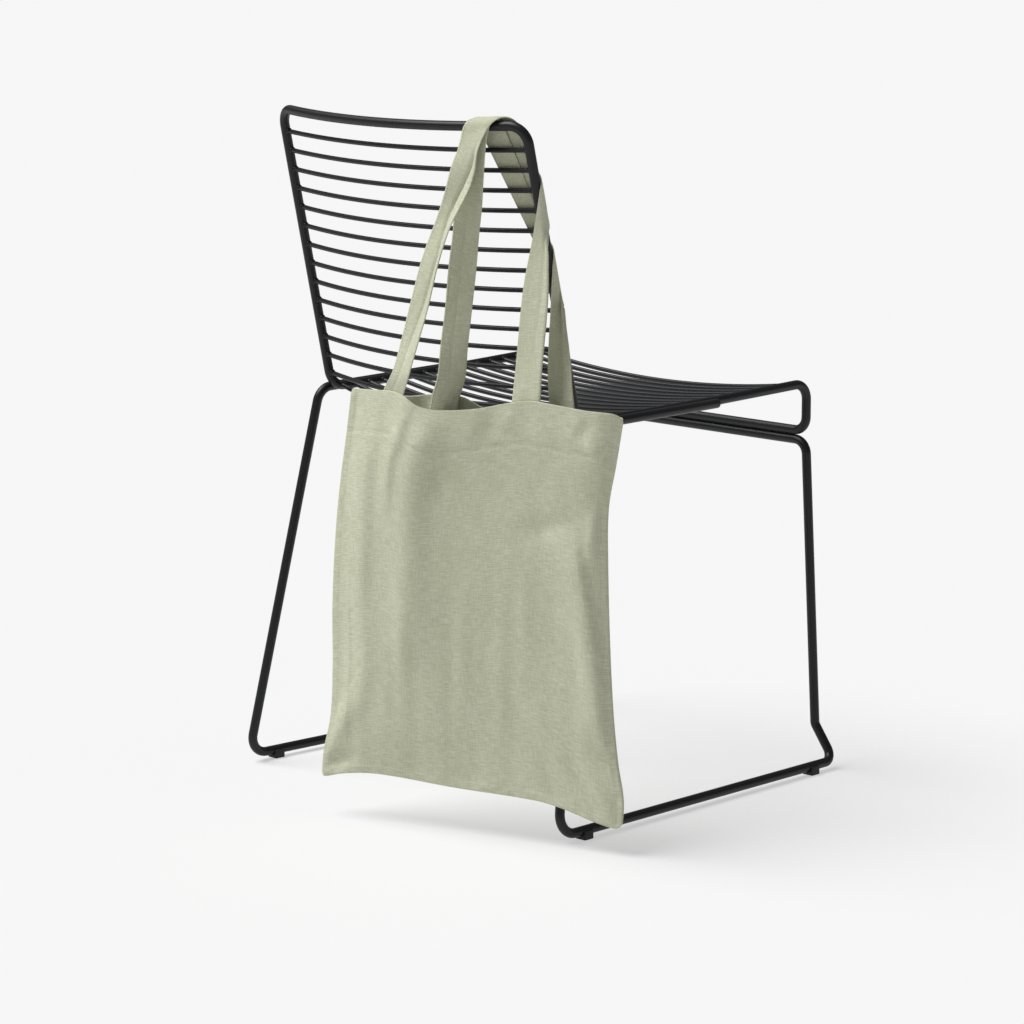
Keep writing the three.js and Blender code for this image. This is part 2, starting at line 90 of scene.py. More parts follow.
def smoothCurve(places, values):  # a smooth curve through a table's rows
    places = np.array(places, float)
    values = np.array(values, float)
    last = len(places) - 1
    before = np.maximum(np.arange(last + 1) - 1, 0)
    after = np.minimum(np.arange(last + 1) + 1, last)
    slopes = (values[after] - values[before]) / (places[after] - places[before])

    def valueAt(place):
        i = np.clip(np.searchsorted(places, place, side="right") - 1, 0, last - 1)
        span = places[i + 1] - places[i]
        t = np.clip((place - places[i]) / span, 0, 1)
        rise = slopes[i] * t * (1 - t) ** 2 - slopes[i + 1] * t * t * (1 - t)
        return values[i] + (values[i + 1] - values[i]) * ease(t) + span * rise

    return valueAt


def column(rows, number):  # one of a table's columns as a curve over its first column
    return smoothCurve([row[0] for row in rows], [row[number] for row in rows])


noiseGrid = 64


def softNoise(across, down, sizeAcross, sizeDown, seed):  # smooth bumps from -1 to 1
    heights = np.random.default_rng(seed).uniform(-1, 1, (noiseGrid, noiseGrid))
    x = np.asarray(across, float) / sizeAcross + 11.3
    y = np.asarray(down, float) / sizeDown + 7.7
    i, j = np.floor(x).astype(int), np.floor(y).astype(int)
    s, t = ease(x - i), ease(y - j)
    i, j = i % (noiseGrid - 1), j % (noiseGrid - 1)
    low = heights[i, j] * (1 - s) + heights[i + 1, j] * s
    high = heights[i, j + 1] * (1 - s) + heights[i + 1, j + 1] * s
    return low * (1 - t) + high * t


# Camera

shot = {"place": (2989.2, -2830.0, 1068.4), "azimuth": 45.58, "downwards": 10.19, "lens": 127.73}


def makeCamera():
    azimuth, down = math.radians(shot["azimuth"]), math.radians(shot["downwards"])
    level = math.cos(down)
    back = np.array([math.sin(azimuth) * level, -math.cos(azimuth) * level, math.sin(down)])
    right = np.array([math.cos(azimuth), math.sin(azimuth), 0])
    camera = bpy.data.objects.new("camera", bpy.data.cameras.new("camera"))
    camera.data.lens = shot["lens"]
    camera.data.sensor_width = 36
    camera.data.clip_end = 100
    turned = Matrix([*zip(right, np.cross(back, right), back)]).to_4x4()
    turned.translation = inFrame(shot["place"])
    camera.matrix_world = turned
    bpy.context.scene.collection.objects.link(camera)
    bpy.context.scene.camera = camera


# Nodes

def feed(node, inputs):
    for socket, value in inputs.items():
        if isinstance(value, bpy.types.NodeSocket):
            node.id_data.links.new(value, node.inputs[socket])
        else:
            node.inputs[socket].default_value = value
    return node


def addNode(tree, kind, inputs=None, **settings):
    node = tree.nodes.new(kind)
    for name, value in settings.items():
        setattr(node, name, value)
    return feed(node, inputs or {})


def colourFromHex(text):
    def linear(value):
        return value / 12.92 if value <= 0.04045 else ((value + 0.055) / 1.055) ** 2.4

    return [linear(int(text[i:i + 2], 16) / 255) for i in (1, 3, 5)] + [1.0]


def newShapeTree(name, inputs):
    tree = bpy.data.node_groups.new(name, "GeometryNodeTree")
    tree.interface.new_socket("Geometry", in_out="OUTPUT", socket_type="NodeSocketGeometry")
    tree.interface.new_socket("Geometry", in_out="INPUT", socket_type="NodeSocketGeometry")
    for label, kind in inputs.items():
        tree.interface.new_socket(label, in_out="INPUT", socket_type="NodeSocket" + kind)
    return tree, tree.nodes.new("NodeGroupInput").outputs


def finishShapeTree(tree, geometry, material):
    real = addNode(tree, "GeometryNodeRealizeInstances", {"Geometry": geometry})
    dressed = addNode(tree, "GeometryNodeSetMaterial", {"Geometry": real.outputs[0], "Material": material})
    addNode(tree, "NodeGroupOutput", {0: dressed.outputs[0]})
    return tree


def runShapeTree(piece, tree, values):
    modifier = piece.modifiers.new("shape", "NODES")
    modifier.node_group = tree
    for item in tree.interface.items_tree:
        if item.in_out == "INPUT" and item.name in values:
            modifier[item.identifier] = values[item.name]
    return keepShape(piece)


def keepShape(piece):  # the modifiers' result becomes the piece's own mesh
    depsgraph = bpy.context.evaluated_depsgraph_get()
    mesh = bpy.data.meshes.new_from_object(piece.evaluated_get(depsgraph), depsgraph=depsgraph)
    piece.modifiers.clear()
    piece.data = mesh
    mesh.name = piece.name
    return piece


def addObject(name, mesh):
    piece = bpy.data.objects.new(name, mesh)
    bpy.context.scene.collection.objects.link(piece)
    return piece


def addLines(name, lines, closed=False, **facts):
    mesh = bpy.data.meshes.new(name)
    points = np.concatenate([inFrame(line) for line in lines])
    edges = []
    start = 0
    for line in lines:
        chain = [(start + i, start + i + 1) for i in range(len(line) - 1)]
        edges += chain + ([(start + len(line) - 1, start)] if closed else [])
        start += len(line)
    mesh.from_pydata(points.tolist(), edges, [])
    for label, values in facts.items():
        values = np.concatenate([np.asarray(value, float) for value in values])
        kind, field = ("FLOAT_VECTOR", "vector") if values.ndim == 2 else ("FLOAT", "value")
        mesh.attributes.new(label, kind, "POINT").data.foreach_set(field, values.ravel())
    return addObject(name, mesh)


def finishPiece(piece, slot, *nodes):
    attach(piece, body)
    if nodes:
        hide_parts(*nodes)
    return piece


# Chair: powder-coated steel rod and wire

def bentLine(corners, bendSteps, closed=False):
    points = []
    count = len(corners)
    for i, (*place, bend) in enumerate(corners):
        place = np.array(place, float)
        if not bend or (not closed and i in (0, count - 1)):
            points.append(place)
            continue
        toBefore = unit(np.array(corners[i - 1][:3], float) - place)
        toAfter = unit(np.array(corners[(i + 1) % count][:3], float) - place)
        half = math.acos(np.clip(toBefore @ toAfter, -1, 1)) / 2
        centre = place + unit(toBefore + toAfter) * bend / math.sin(half)
        spoke = place + toBefore * bend / math.tan(half) - centre
        axis = -unit(np.cross(toBefore, toAfter))
        for k in range(bendSteps + 1):
            turn = (math.pi - 2 * half) * k / bendSteps
            points.append(centre + spoke * math.cos(turn) + np.cross(axis, spoke) * math.sin(turn))
    return np.array(points)


def mirrored(corners):
    return [(-x, y, z, bend) for x, y, z, bend in reversed(corners)]


def topRailPoint(x):
    share = 1 - (np.asarray(x, float) / topCorner[0]) ** 2
    return np.stack([
        x + 0 * share, topCorner[1] - topRailBow["back"] * share, topCorner[2] - topRailBow["down"] * share,
    ], axis=-1)


def seatHalfWidth(y):
    return rearCorner[0] + (frontCorner[0] - rearCorner[0]) * y / frontCorner[1]


def makeSweepTree(material):
    tree, inputs = newShapeTree("roundBar", {
        "Radius": "Float", "Sides": "Int", "Material": "Material",
    })
    path = addNode(tree, "GeometryNodeMeshToCurve", {"Mesh": inputs["Geometry"]})
    section = addNode(tree, "GeometryNodeCurvePrimitiveCircle", {
        "Resolution": inputs["Sides"], "Radius": inputs["Radius"],
    })
    girth = addNode(tree, "GeometryNodeInputNamedAttribute", {"Name": "girth"}, data_type="FLOAT")
    swept = addNode(tree, "GeometryNodeCurveToMesh", {
        "Curve": path.outputs[0], "Profile Curve": section.outputs[0],
        "Scale": girth.outputs[0], "Fill Caps": True,
    })
    return finishShapeTree(tree, swept.outputs[0], inputs["Material"])


def roundedEnds(line, radius, fillet=1.6, steps=4):  # a line and its girth, with soft ends
    girth = [1.0] * len(line)
    for end in (0, -1):
        inwards = unit(line[1] - line[0]) if end == 0 else unit(line[-2] - line[-1])
        tip = line[end]
        extra = []
        for k in range(steps + 1):
            turn = math.pi / 2 * k / steps
            girthThere = 1 - fillet / radius * (1 - math.cos(turn))
            extra.append((tip + inwards * fillet * (1 - math.sin(turn)), girthThere))
        points, sizes = zip(*extra)
        if end == 0:
            line = np.concatenate([points[::-1], line[1:]])
            girth = [*sizes[::-1], *girth[1:]]
        else:
            line = np.concatenate([line[:-1], points])
            girth = [*girth[:-1], *sizes]
    return line, girth


def sideProfile():  # the frame's side from the top corner down the post, round and along the seat
    corners = [
        (0, *topCorner[1:]), (0, *rearCorner[1:]), *[(0, *dip) for dip in seatRailDip],
        (0, *frontCorner[1:]),
    ]
    return bentLine(corners, 8)


wireBow = [(0, 22), (160, 24), (320, 24), (420, 21), (500, 15), (690, 15)]  # along the profile, bow


def wireLines():
    profile = sideProfile()
    run = runAlong(profile)
    bowAt = column(wireBow, 1)
    groups = {"back": [], "seat": []}
    for number in range(wire["count"]):
        along = wire["first"] + wire["spacing"] * number
        k = int(np.searchsorted(run, along)) - 1
        tangent = unit(profile[k + 1] - profile[k])
        place = profile[k] + tangent * (along - run[k])
        outwards = np.array([0, tangent[2], -tangent[1]])
        onPost = place[2] > rearCorner[2] + 5 and place[1] < 0
        share = (place[2] - rearCorner[2]) / (topCorner[2] - rearCorner[2])
        postHalf = rearCorner[0] + (topCorner[0] - rearCorner[0]) * share
        half = postHalf if onPost else seatHalfWidth(max(0, place[1]))
        reach = half - rod["radius"] + wire["sunk"]
        across = np.linspace(-1, 1, wire["steps"] + 1)
        bow = float(bowAt(along)) * (1 - across ** 2)
        line = place + np.outer(across * reach, [1, 0, 0]) + np.outer(bow, outwards)
        groups["back" if onPost else "seat"].append(line)
    return groups


def frameLine():
    side = [
        dropCorner, frontCorner,
        *[(seatHalfWidth(y), y, z, bend) for y, z, bend in reversed(seatRailDip)],
        rearCorner, topCorner,
    ]
    rail = [(*topRailPoint(x), 0) for x in range(160, -161, -rod["railStep"])]
    return bentLine([*side, *rail, *mirrored(side)], rod["bendSteps"], closed=True)


base = {
    "railEnd": (215, 456),  # y and z where the rod stops beside the seat's rail
    "rearTop": (-9, 452, 20),
    "rearFoot": (262.2, -85.7, 9.5, 22),
    "frontFoot": (245.5, 396, 9.5, 14),
    "frontKnee": (222.5, 388, 52, 12),
    "frontTop": (379.2, 17),
    "touch": 0.25,
}


def baseLine():
    def beside(y):
        return seatHalfWidth(y) + 2 * rod["radius"] + base["touch"]

    endY, endZ = base["railEnd"]
    frontY, frontBend = base["frontTop"]
    side = [
        (beside(endY), endY, endZ, 0),
        (beside(0), *base["rearTop"]),
        base["rearFoot"], base["frontFoot"], base["frontKnee"],
        (dropCorner[0], frontY, dropCorner[2] - 2 * rod["radius"] - base["touch"], frontBend),
    ]
    return bentLine([*side, *mirrored(side)], rod["bendSteps"])


bead = {"foot": 4.3, "top": 2.9, "height": 2.6, "sunk": 0.5, "sides": 14}


def makeBeadTree():  # the small collar of weld where a wire meets a rod
    tree, inputs = newShapeTree("weldBeads", {
        "Foot": "Float", "Top": "Float", "Height": "Float", "Sides": "Int", "Material": "Material",
    })
    collar = addNode(tree, "GeometryNodeMeshCone", {
        "Vertices": inputs["Sides"], "Side Segments": 4, "Radius Top": inputs["Top"],
        "Radius Bottom": inputs["Foot"], "Depth": inputs["Height"],
    }, fill_type="TRIANGLE_FAN")
    outwards = addNode(tree, "GeometryNodeInputNamedAttribute", {
        "Name": "outwards",
    }, data_type="FLOAT_VECTOR")
    turned = addNode(tree, "FunctionNodeAlignRotationToVector", {"Vector": outwards.outputs[0]}, axis="Z")
    placed = addNode(tree, "GeometryNodeInstanceOnPoints", {
        "Points": inputs["Geometry"], "Instance": collar.outputs["Mesh"], "Rotation": turned.outputs[0],
    })
    return finishShapeTree(tree, placed.outputs[0], inputs["Material"])


def buildChair(powderCoat):
    sweep = makeSweepTree(powderCoat)

    def bar(name, lines, girths, sizes, closed=False):
        piece = addLines(name, lines, closed, girth=girths)
        runShapeTree(piece, sweep, {
            "Radius": sizes["radius"] * mm, "Sides": sizes["sides"], "Material": powderCoat,
        })
        piece.data.shade_smooth()
        return piece

    loop = frameLine()
    frameRod = bar("frame_rod", [loop], [np.ones(len(loop))], rod, closed=True)
    finishPiece(frameRod, "powder_coat", "upper_frame")
    line, girth = roundedEnds(baseLine(), rod["radius"])
    finishPiece(bar("base_rod", [line], [girth], rod), "powder_coat", "base")

    groups = wireLines()
    first = 1
    for group, lines in groups.items():
        names = [f"{group}_wire_{first + i:02d}" for i in range(len(lines))]
        first += len(lines)
        piece = bar(f"{group}_wires", lines, [np.ones(len(line)) for line in lines], wire)
        finishPiece(piece, "powder_coat", *names)

    places, outwards = [], []
    for line in [line for lines in groups.values() for line in lines]:
        for end, inner in ((line[0], line[1]), (line[-1], line[-2])):
            inwards = unit(inner - end)
            places.append(end + inwards * (wire["sunk"] - bead["sunk"]))
            outwards.append(inwards)
    beads = addLines("weld_beads", [[place] for place in places], outwards=[[out] for out in outwards])
    runShapeTree(beads, makeBeadTree(), {
        "Foot": bead["foot"] * mm, "Top": bead["top"] * mm, "Height": bead["height"] * mm,
        "Sides": bead["sides"], "Material": powderCoat,
    })
    beads.data.shade_smooth()
    finishPiece(beads, "powder_coat")
    print("chair built")


glide = {"length": 14, "width": 15, "height": 10.5, "inset": 42, "play": 0.2, "round": 1.2}


def buildGlides(plastic):  # moulded saddles that clip over the runners from below
    foot, toe = np.array(base["rearFoot"][:2]), np.array(base["frontFoot"][:2])
    runner = toe - foot
    runnerTurn = math.atan2(runner[1], runner[0]) - math.pi / 2
    groove = rod["radius"] + glide["play"]
    rise = base["rearFoot"][2]
    lip = math.asin((glide["height"] - rise) / groove)
    half = glide["width"] / 2
    arc = [math.pi - lip + (math.pi + 2 * lip) * k / 20 for k in range(21)]
    outline = [(half, glide["height"]), (half, 0), (-half, 0), (-half, glide["height"])]
    outline += [(groove * math.cos(turn), rise + groove * math.sin(turn)) for turn in arc]
    sideways, upwards = np.array(outline).T
    for place, fromFoot in (("rear", glide["inset"]), ("front", np.linalg.norm(runner) - glide["inset"])):
        for side, sign in (("left", -1), ("right", 1)):
            spot = foot + unit(runner) * fromFoot
            turn = sign * runnerTurn
            along = np.array([-math.sin(turn), math.cos(turn), 0])
            across = np.array([math.cos(turn), math.sin(turn), 0])
            section = np.array([sign * spot[0], spot[1], 0]) + np.outer(sideways, across)
            section[:, 2] += upwards
            reach = along * glide["length"] / 2
            count = len(outline)
            faces = [(i, (i + 1) % count, count + (i + 1) % count, count + i) for i in range(count)]
            faces += [tuple(reversed(range(count))), tuple(range(count, 2 * count))]
            mesh = bpy.data.meshes.new("glide")
            points = inFrame(np.concatenate([section - reach, section + reach]))
            mesh.from_pydata(points.tolist(), [], faces)
            piece = addObject(f"glide_{place}_{side}_cap", mesh)
            faceOutwards(piece)
            bevel = piece.modifiers.new("edges", "BEVEL")
            bevel.width = glide["round"] * mm
            bevel.segments = 3
            bevel.limit_method = "ANGLE"
            bevel.angle_limit = math.radians(40)
            keepShape(piece)
            piece.data.shade_smooth()
            piece.data.materials.append(plastic)
            finishPiece(piece, "glide_plastic", f"glide_{place}_{side}")
    print("glides built")


def faceOutwards(piece):
    shape = bmesh.new()
    shape.from_mesh(piece.data)
    bmesh.ops.recalc_face_normals(shape, faces=shape.faces)
    shape.to_mesh(piece.data)
    shape.free()


# Bag: panels of washed linen, sewn at the sides and the bottom, with a turned hem at the mouth

bag = {"x": 175, "y": -120, "turn": 17, "height": 440, "width": 362}
linen = {"thickness": 0.7, "hemDepth": 48, "hemFold": 0.48, "step": 2.6}
hemStitch = {"inset": 2, "dent": 0.85, "width": 1.9, "fade": 10}
seam = {
    "round": 1.6, "allowance": 9, "ridge": 0.32, "ridgeEdge": 2.5, "start": 3, "border": 24,
    "corner": 7, "mouthCorner": 0.7, "puckerAt": 4, "puckerReach": 9,
}
# Where the folds and bumps fade out: near the cloth's edge, at the ends of a fold, below the hem,
# and above the share of the height where the long streaks begin.
fades = {"edge": 16, "foldEnd": 55, "hem": 14, "streaks": 0.3}
# The cloth's small unevenness: its height, its reach across and down, and what its seed adds.
unevenness = {
    "sway": (1.1, 52, 90, 0), "ripple": (0.45, 19, 60, 1), "seamPucker": (0.5, 9, 9, 2),
    "hemPucker": (0.4, 7, 50, 3), "streaks": (0.8, 15, 150, 4), "hemRumple": (0.75, 17, 15, 5),
    "ridge": (0.9, 40, 40, 6),
}

# Share of the height down, then across and depth of the left seam and of the right seam.
sideSeams = [
    (0, -181, -30, 168, -12), (0.11, -186, -27, 159, -13), (0.22, -192, -24, 150, -13),
    (0.36, -197, -20, 150, -12), (0.56, -200, -16, 154, -10), (0.72, -198, -12, 160, -7),
    (0.84, -199, -8, 167, -5), (0.93, -206, -4, 175, -3), (1, -207, -1, 175, 0),
]
# Height of the mouth's edges and of the bottom seam over the share across.
frontMouth = [
    (0, 486), (0.1, 488.5), (0.19, 490.5), (0.24, 488), (0.3, 478), (0.37, 475), (0.5, 479), (0.61, 487.5),
    (0.69, 492), (0.76, 490), (0.88, 486.5), (0.97, 485), (1, 480),
]
backMouth = [
    (0, 486), (0.17, 480), (0.29, 484.5), (0.38, 483), (0.46, 472), (0.6, 470), (0.7, 484), (0.8, 482),
    (1, 480),
]
bottomSeam = [
    (0, 43), (0.08, 51), (0.2, 55.5), (0.45, 52), (0.72, 50), (0.81, 45), (0.9, 36), (0.97, 31), (1, 32),
]
# How far the front and the back panel bulge, over the share down, and their shape across.
swell = [
    (0, 28, 25), (0.1, 31, 24), (0.24, 28, 22), (0.45, 25, 16), (0.7, 20, 10),
    (0.85, 13, 5), (0.94, 6, 2), (1, 0, 0),
]
frontCrown = [
    (0, 0), (0.035, 0.12), (0.1, 0.44), (0.19, 0.8), (0.27, 0.97), (0.32, 1), (0.4, 0.9), (0.5, 0.69),
    (0.62, 0.5), (0.76, 0.43), (0.86, 0.44), (0.93, 0.4), (0.97, 0.26), (0.987, 0.1), (1, 0),
]
backCrown = [(0, 0), (0.06, 0.12), (0.25, 0.66), (0.5, 1), (0.75, 0.62), (0.94, 0.1), (1, 0)]

# Long folds: how far each reaches to its left and right, its height, below zero for a trough, and
# its route as shares across and down the panel.
frontFolds = [
    (12, 7, 3.4, [(0.28, -0.05), (0.25, 0.1), (0.23, 0.17), (0.235, 0.34)]),
    (20, 22, 4.6, [(0.385, -0.05), (0.345, 0.08), (0.322, 0.16), (0.328, 0.32), (0.318, 0.5),
                   (0.3, 0.74)]),
    (22, 60, -2.6, [(0.44, 0.0), (0.425, 0.2), (0.41, 0.5)]),
    (10, 18, -1.3, [(0.175, -0.05), (0.18, 0.3), (0.175, 0.62)]),
    (20, 13, 3.6, [(0.11, 0.08), (0.125, 0.25), (0.135, 0.5), (0.137, 0.72), (0.1, 0.92)]),
    (12, 14, 1.2, [(0.49, -0.05), (0.5, 0.14)]),
    (28, 7, 7.5, [(0.885, 0.27), (0.905, 0.32), (0.93, 0.41), (0.95, 0.49), (0.962, 0.57),
                  (0.974, 0.65), (0.984, 0.74), (0.99, 0.86)]),
    (34, 16, -2.2, [(0.81, 0.3), (0.845, 0.43), (0.875, 0.56), (0.895, 0.68), (0.92, 0.84)]),
]
backFolds = [
    (16, 14, 5, [(0.33, -0.05), (0.28, 0.32)]),
    (28, 30, -6, [(0.52, -0.05), (0.5, 0.42)]),
    (14, 16, 4, [(0.76, -0.05), (0.8, 0.32)]),
    (18, 24, 4, [(0.12, 0.25), (0.1, 0.85)]),
    (22, 16, 5, [(0.9, 0.2), (0.93, 0.8)]),
]

# Short dents and bumps: shares across and down, reach along and across their own line, that
# line's slope in degrees, height.
frontDents = [
    (0.79, 0.305, 36, 14, 16, -3), (0.41, 0.2, 20, 13, 65, -2.6), (0.36, 0.115, 16, 6, 0, -1.5),
    (0.89, 0.05, 14, 7, 50, -2.2), (0.94, 0.1, 16, 7, -60, 2.2), (0.965, 0.3, 30, 8, 86, 3.8),
    (0.62, 0.05, 22, 12, 70, 1.8), (0.55, 0.06, 22, 10, 55, -1.8), (0.75, 0.07, 18, 8, -55, 1.5),
    (0.06, 0.86, 34, 12, 68, 4.5), (0.055, 0.965, 22, 10, 15, -4.5), (0.79, 0.84, 50, 9, -58, 2.4),
    (0.72, 0.86, 46, 9, -58, -2.2), (0.87, 0.93, 30, 8, -55, -1.5), (0.93, 0.92, 30, 9, -60, 3.2),
]
backDents = [
    (0.3, 0.5, 40, 16, 20, -3), (0.7, 0.62, 46, 18, -30, 3),
]

leftAt, leftDepthAt, rightAt, rightDepthAt = (column(sideSeams, number) for number in (1, 2, 3, 4))
bottomAt = column(bottomSeam, 1)


def bagToChair(u, depth, z):  # u runs across the bag, depth out towards its front
    turn = math.radians(bag["turn"])
    return np.stack([
        bag["x"] + u * math.cos(turn) + depth * math.sin(turn),
        bag["y"] + u * math.sin(turn) - depth * math.cos(turn),
        z + 0 * u,
    ], axis=-1)


def edgeRun(cloth):  # how far in from the seam, for a length of cloth that first turns out of it
    corner = seam["round"] * math.pi / 2
    return np.where(
        cloth < corner, seam["round"] * (1 - np.cos(np.minimum(cloth, corner) / seam["round"])),
        cloth - corner + seam["round"],
    )


def edgeRise(cloth):
    corner = seam["round"] * math.pi / 2
    return seam["round"] * np.sin(np.minimum(cloth, corner) / seam["round"])


def foldLift(folds, u, down, uAt):
    lift = 0 * u
    for left, right, height, route in folds:
        across, depths = zip(*route)
        line = smoothCurve(depths, across)(np.clip(down, depths[0], depths[-1]))
        off = u - uAt(line)
        reach = np.where(off < 0, left, right)
        fade = np.minimum(down - depths[0], depths[-1] - down) * bag["height"] / fades["foldEnd"]
        lift += height * np.exp(-(off / reach) ** 2) * ease(fade)
    return lift


def dentLift(dents, u, z, uAt, zAt):
    lift = 0 * u
    for share, level, length, width, degrees, height in dents:
        slope = math.radians(degrees)
        du, dz = u - uAt(share, level), z - zAt(share, level)
        along = (du * math.cos(slope) + dz * math.sin(slope)) / length
        across = (dz * math.cos(slope) - du * math.sin(slope)) / width
        lift += height * np.exp(-along ** 2 - across ** 2)
    return lift


def makePanel(side, mouth, crown, folds, dents, seed):
    topAt, crownAt, swellAt = column(mouth, 1), column(crown, 1), column(swell, 1 if side > 0 else 2)
    width, height, border = bag["width"], bag["height"], seam["border"]
    inner = edgeRun(border)

    def place(p, q):  # millimetres of cloth from the left seam and down from the mouth
        down = q / height
        left, right = leftAt(down), rightAt(down)
        middle = (p - border) / (width - 2 * border)
        u = np.select(
            [p < border, width - p < border], [left + edgeRun(p), right - edgeRun(width - p)],
            left + inner + (right - left - 2 * inner) * middle,
        )
        share = (u - left) / (right - left)
        top, bottom = topAt(share), bottomAt(share)
        fromBottom = height - q
        z = np.where(
            fromBottom < border, bottom + edgeRun(fromBottom),
            top + (bottom + inner - top) * q / (height - border),
        )
        down = (top - z) / (top - bottom)

        # rounded corners: a square at each corner is drawn into a quarter disc
        fromSide = np.minimum(u - left, right - u)
        sideways = np.where(u - left < right - u, 1, -1)
        bottomCorner = (z - bottom, 1, seam["corner"])
        mouthCorner = (top - z, -1, seam["corner"] * seam["mouthCorner"])
        for fromEdge, upwards, radius in (bottomCorner, mouthCorner):
            x = np.clip(1 - fromSide / radius, 0, 1)
            y = np.clip(1 - fromEdge / radius, 0, 1)
            pull = np.maximum(x, y) / np.maximum(np.hypot(x, y), 1e-6)
            pull = np.where((x > 0) & (y > 0), 1 - pull, 0)
            u = u + sideways * pull * x * radius
            z = z + upwards * pull * y * radius

        cloth = np.minimum(np.minimum(p, width - p), fromBottom)
        across = (u - left) / (right - left)
        seamDepth = leftDepthAt(down) + (rightDepthAt(down) - leftDepthAt(down)) * across
        puff = crownAt(np.clip(across, 0, 1))
        fade = ease(np.minimum(cloth / fades["edge"], 1))

        def uAt(share, level=None):
            a, b = (left, right) if level is None else (leftAt(level), rightAt(level))
            return a + (b - a) * share

        def zAt(share, level):
            return topAt(share) + (bottomAt(share) - topAt(share)) * level

        def uneven(name, lean=0):
            size, acrossReach, downReach, added = unevenness[name]
            return size * softNoise(u + lean * z, z, acrossReach, downReach, seed + added)

        lift = foldLift(folds, u, down, uAt) + dentLift(dents, u, z, uAt, zAt)
        lift += uneven("sway") + uneven("ripple")
        lift += uneven("streaks") * ease((down - fades["streaks"]) / fades["streaks"])
        lift += uneven("hemRumple", 0.6) * ease((linen["hemDepth"] + fades["hem"] - q) / fades["hem"])
        fromSeam = ease(cloth / seam["start"])
        ridge = seam["ridge"] * (1 + uneven("ridge"))
        ridge *= ease((seam["allowance"] + seam["ridgeEdge"] - cloth) / seam["ridgeEdge"]) * fromSeam
        nearSeam = np.exp(-((cloth - seam["puckerAt"]) / seam["puckerReach"]) ** 2) * fromSeam
        pucker = uneven("seamPucker") * nearSeam
        hemLine = np.exp(-((q - linen["hemDepth"] + hemStitch["inset"]) / hemStitch["width"]) ** 2)
        pucker -= (hemStitch["dent"] + uneven("hemPucker")) * hemLine * ease(cloth / hemStitch["fade"])
        depth = seamDepth + side * (edgeRise(cloth) + swellAt(down) * puff)
        return bagToChair(u, depth + lift * fade + side * (ridge + pucker), z)

    return place


def clothNormals(place, p, q, side):
    step = 0.8
    width, height = bag["width"], bag["height"]
    alongU = place(np.minimum(p + step, width), q) - place(np.maximum(p - step, 0), q)
    alongDown = place(p, np.minimum(q + step, height)) - place(p, np.maximum(q - step, 0))
    return side * unit(np.cross(alongDown, alongU))


def clothStations(length, closed):  # places across or down: close together where the cloth turns
    turn = [0, 0.35, 0.75, 1.2, 1.7, 2.2, 2.7, 3.4, 4.5, 6, 7.5, 8.8, 9.8, 10.8, 12, 14, 16.5, 19, 21.5]
    start = turn if closed else [0, 1.2, 2.4]
    inner = np.arange(start[-1] + linen["step"], length - turn[-1] - linen["step"] / 2, linen["step"])
    return np.concatenate([start, inner, length - np.array(turn[::-1])])


def clothMesh(name, points, plan, flip):
    rows, columns = points.shape[:2]
    number = np.arange(rows * columns).reshape(rows, columns)
    corners = [number[:-1, :-1], number[1:, :-1], number[1:, 1:], number[:-1, 1:]]
    faces = np.stack(corners, axis=-1).reshape(-1, 4)
    if flip:
        faces = faces[:, ::-1]
    mesh = bpy.data.meshes.new(name)
    mesh.from_pydata(inFrame(points.reshape(-1, 3)).tolist(), [], faces.tolist())
    layer = mesh.uv_layers.new(name="clothPlan")
    layer.data.foreach_set("uv", (plan.reshape(-1, 2)[faces.ravel()] * mm).ravel())
    mesh.shade_smooth()
    return mesh


def thicken(piece, thickness):
    solid = piece.modifiers.new("thickness", "SOLIDIFY")
    solid.thickness = thickness * mm
    solid.offset = 0
    solid.use_even_offset = False
    return keepShape(piece)


foldTurns = np.linspace(0, math.pi, 6)[1:-1]


def foldBack(edge, normals, outwards, fold):  # the turn of cloth from one layer round to the other
    return [edge + normals * fold * math.cos(turn) + outwards * fold * math.sin(turn) for turn in foldTurns]


def buildPanel(name, node, side, place, material):
    across = clothStations(bag["width"], True)
    downwards = clothStations(bag["height"], False)
    q, p = np.meshgrid(downwards, across, indexing="ij")
    outer = place(p, q)
    normals = clothNormals(place, p, q, side)
    hemRows = np.searchsorted(downwards, linen["hemDepth"])
    fold = linen["hemFold"]
    upTangent = -unit(outer[1] - outer[0])
    bend = foldBack(outer[0] - normals[0] * fold, -normals[0], upTangent, fold)
    inner = outer[:hemRows] - normals[:hemRows] * 2 * fold
    points = np.concatenate([inner[::-1], np.array(bend), outer])
    bendRun = fold * np.linspace(-math.pi, 0, 6)[1:-1]
    run = np.concatenate([-downwards[:hemRows][::-1] - fold * math.pi, bendRun, downwards])
    plan = np.stack(np.meshgrid(run, across, indexing="ij")[::-1], axis=-1)
    piece = addObject(name, clothMesh(name, points, plan, side < 0))
    thicken(piece, linen["thickness"])
    piece.data.materials.append(material)
    return finishPiece(piece, "linen", node)


# Handles: each a strip folded lengthwise, stitched along its open edge and sewn inside the hem

handle = {
    "layer": 0.7, "fold": 0.45, "foldEdge": 0.7, "hemClear": 0.15, "postClear": 0.75, "sewnDepth": 26,
    "columns": 4, "across": 16, "measured": 7, "step": 2.8, "flatWidth": 70, "run": 720,
    "valley": {"round": 2, "flank": 0.22, "line": 9, "lineWidth": 1.7}, "noise": (0.45, 14, 55, 61),
}

